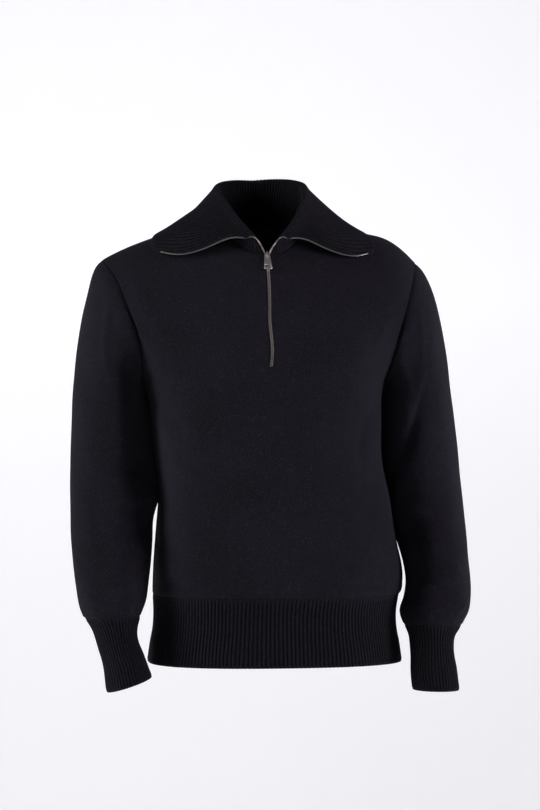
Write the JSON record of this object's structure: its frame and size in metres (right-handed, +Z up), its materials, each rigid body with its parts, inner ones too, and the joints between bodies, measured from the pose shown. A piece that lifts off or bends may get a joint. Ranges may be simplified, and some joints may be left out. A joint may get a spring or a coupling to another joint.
{
  "type": "pullover sweater",
  "caption": "Half-zip knit pullover, filled out as worn, with a folded rib collar, long sleeves, rib cuffs and a rib hem, hollow and open at neck, hem and cuffs.",
  "frame": {"origin": "the middle of the base of the neck, level with the top of the shoulder seams, where the wearer holds the garment up", "axes": "+Z up, the front faces -Y, +X is the wearer's left"},
  "size_m": [0.6043, 0.2631, 0.7757],
  "materials": {
    "wool_jersey": "plain knit of fine black wool with a soft nap, matt",
    "wool_rib": "black wool knitted in narrow ribs, matt",
    "zip_teeth": "dark metal teeth on a narrow woven tape",
    "zip_metal": "dull warm-grey metal, lightly worn on its edges"
  },
  "bodies": {
    "garment": {"front": "wool_jersey", "back": "wool_jersey", "sleeve_right": "wool_jersey", "sleeve_left": "wool_jersey", "cuff_right": "wool_rib", "cuff_left": "wool_rib", "hem_rib_front": "wool_rib", "hem_rib_back": "wool_rib", "collar": "wool_rib", "zip_tape_right": "zip_teeth", "zip_tape_left": "zip_teeth", "zip_slider": "zip_metal"},
    "pull": {"zip_pull": "zip_metal"}
  },
  "joints": [
    {"name": "pull_hinge", "type": "hinge", "parent": "garment", "child": "pull", "pos_m": [-0.005, -0.09333, -0.06333], "axis": [-1, 0, 0], "range_deg": [0, 150]}
  ]
}
